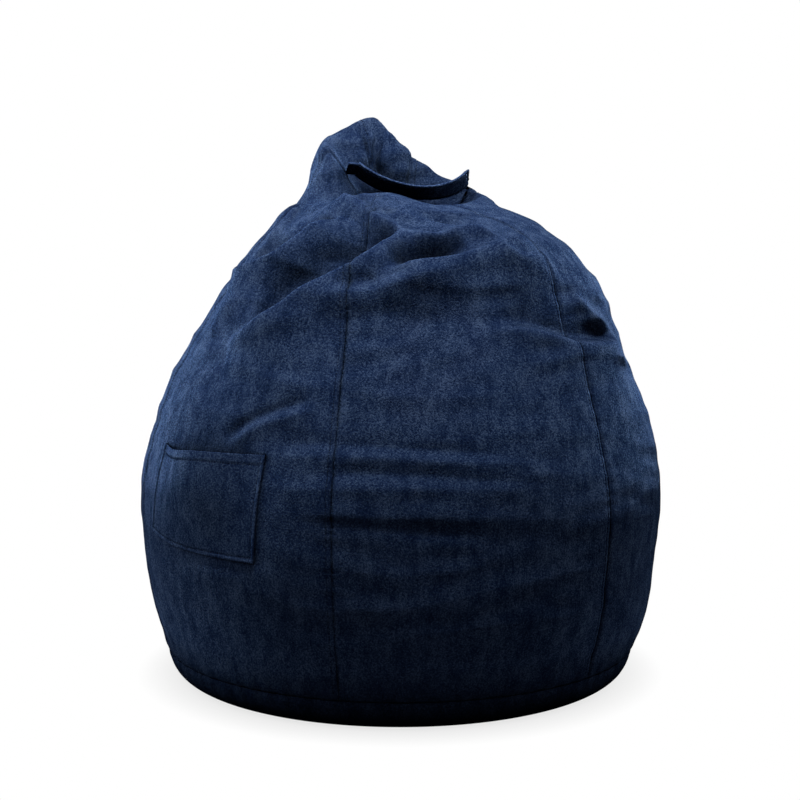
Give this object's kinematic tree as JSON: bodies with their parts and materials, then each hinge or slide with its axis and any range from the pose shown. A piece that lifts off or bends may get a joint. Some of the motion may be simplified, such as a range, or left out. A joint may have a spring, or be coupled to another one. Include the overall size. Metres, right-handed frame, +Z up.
{
  "type": "bean bag chair",
  "caption": "Teardrop bean bag chair in dark blue brushed cloth with sewn gores, a carry handle at the slack top, a side patch pocket and a zipped base seam.",
  "frame": {"origin": "middle of the round base, on the floor", "axes": "+Z up; -Y is the front of the seat; the pocket is on the -X side; the slack top stands up on the +Y side"},
  "size_m": [0.8219, 0.8039, 0.862],
  "materials": {
    "cover_cloth": "brushed matt nap",
    "zip_tape": "woven",
    "zip_coil": "satin",
    "zip_metal": "satin paint",
    "liner_zip": "satin",
    "liner_cloth": "nonwoven",
    "beads": "expanded foam beads"
  },
  "bodies": {
    "cover": {"front_right_panel": "cover_cloth", "right_panel": "cover_cloth", "rear_right_panel": "cover_cloth", "rear_left_panel": "cover_cloth", "left_panel": "cover_cloth", "front_left_panel": "cover_cloth", "base_panel": "cover_cloth", "top_patch": "cover_cloth", "pocket": "cover_cloth", "handle_tab_left": "cover_cloth", "handle_tab_right": "cover_cloth", "zip_tape_upper": "zip_tape", "zip_tape_lower": "zip_tape", "zip_coil_upper": "zip_coil", "zip_coil_lower": "zip_coil", "zip_stops": "zip_metal", "inner_liner": "liner_cloth", "liner_tape_rear": "liner_cloth", "liner_tape_front": "liner_cloth", "liner_coil_rear": "liner_zip", "liner_coil_front": "liner_zip", "bead_fill": "beads"},
    "handle": {"carry_handle": "cover_cloth"},
    "zip_slider": {"zip_slider": "zip_metal"},
    "zip_pull": {"zip_pull": "zip_metal"},
    "liner_slider": {"liner_slider": "liner_zip"}
  },
  "joints": [
    {"name": "handle_swing", "type": "hinge", "parent": "cover", "child": "handle", "pos_m": [0.01732, -0.01, 0.77], "axis": [-0.864, 0.4988, 0.068], "range_deg": [0, 125]},
    {"name": "zip_travel", "type": "hinge", "parent": "cover", "child": "zip_slider", "pos_m": [0, 0, 0.044], "axis": [0, 0, 1], "range_deg": [0, 116]},
    {"name": "pull_swing", "type": "hinge", "parent": "zip_slider", "child": "zip_pull", "pos_m": [0.32433, -0.1733, 0.04312], "axis": [-0.2785, 0.1488, -0.9489], "range_deg": [0, 160]},
    {"name": "liner_zip_travel", "type": "slide", "parent": "cover", "child": "liner_slider", "axis": [-1, 0, 0], "range_m": [0, 0.408]}
  ]
}
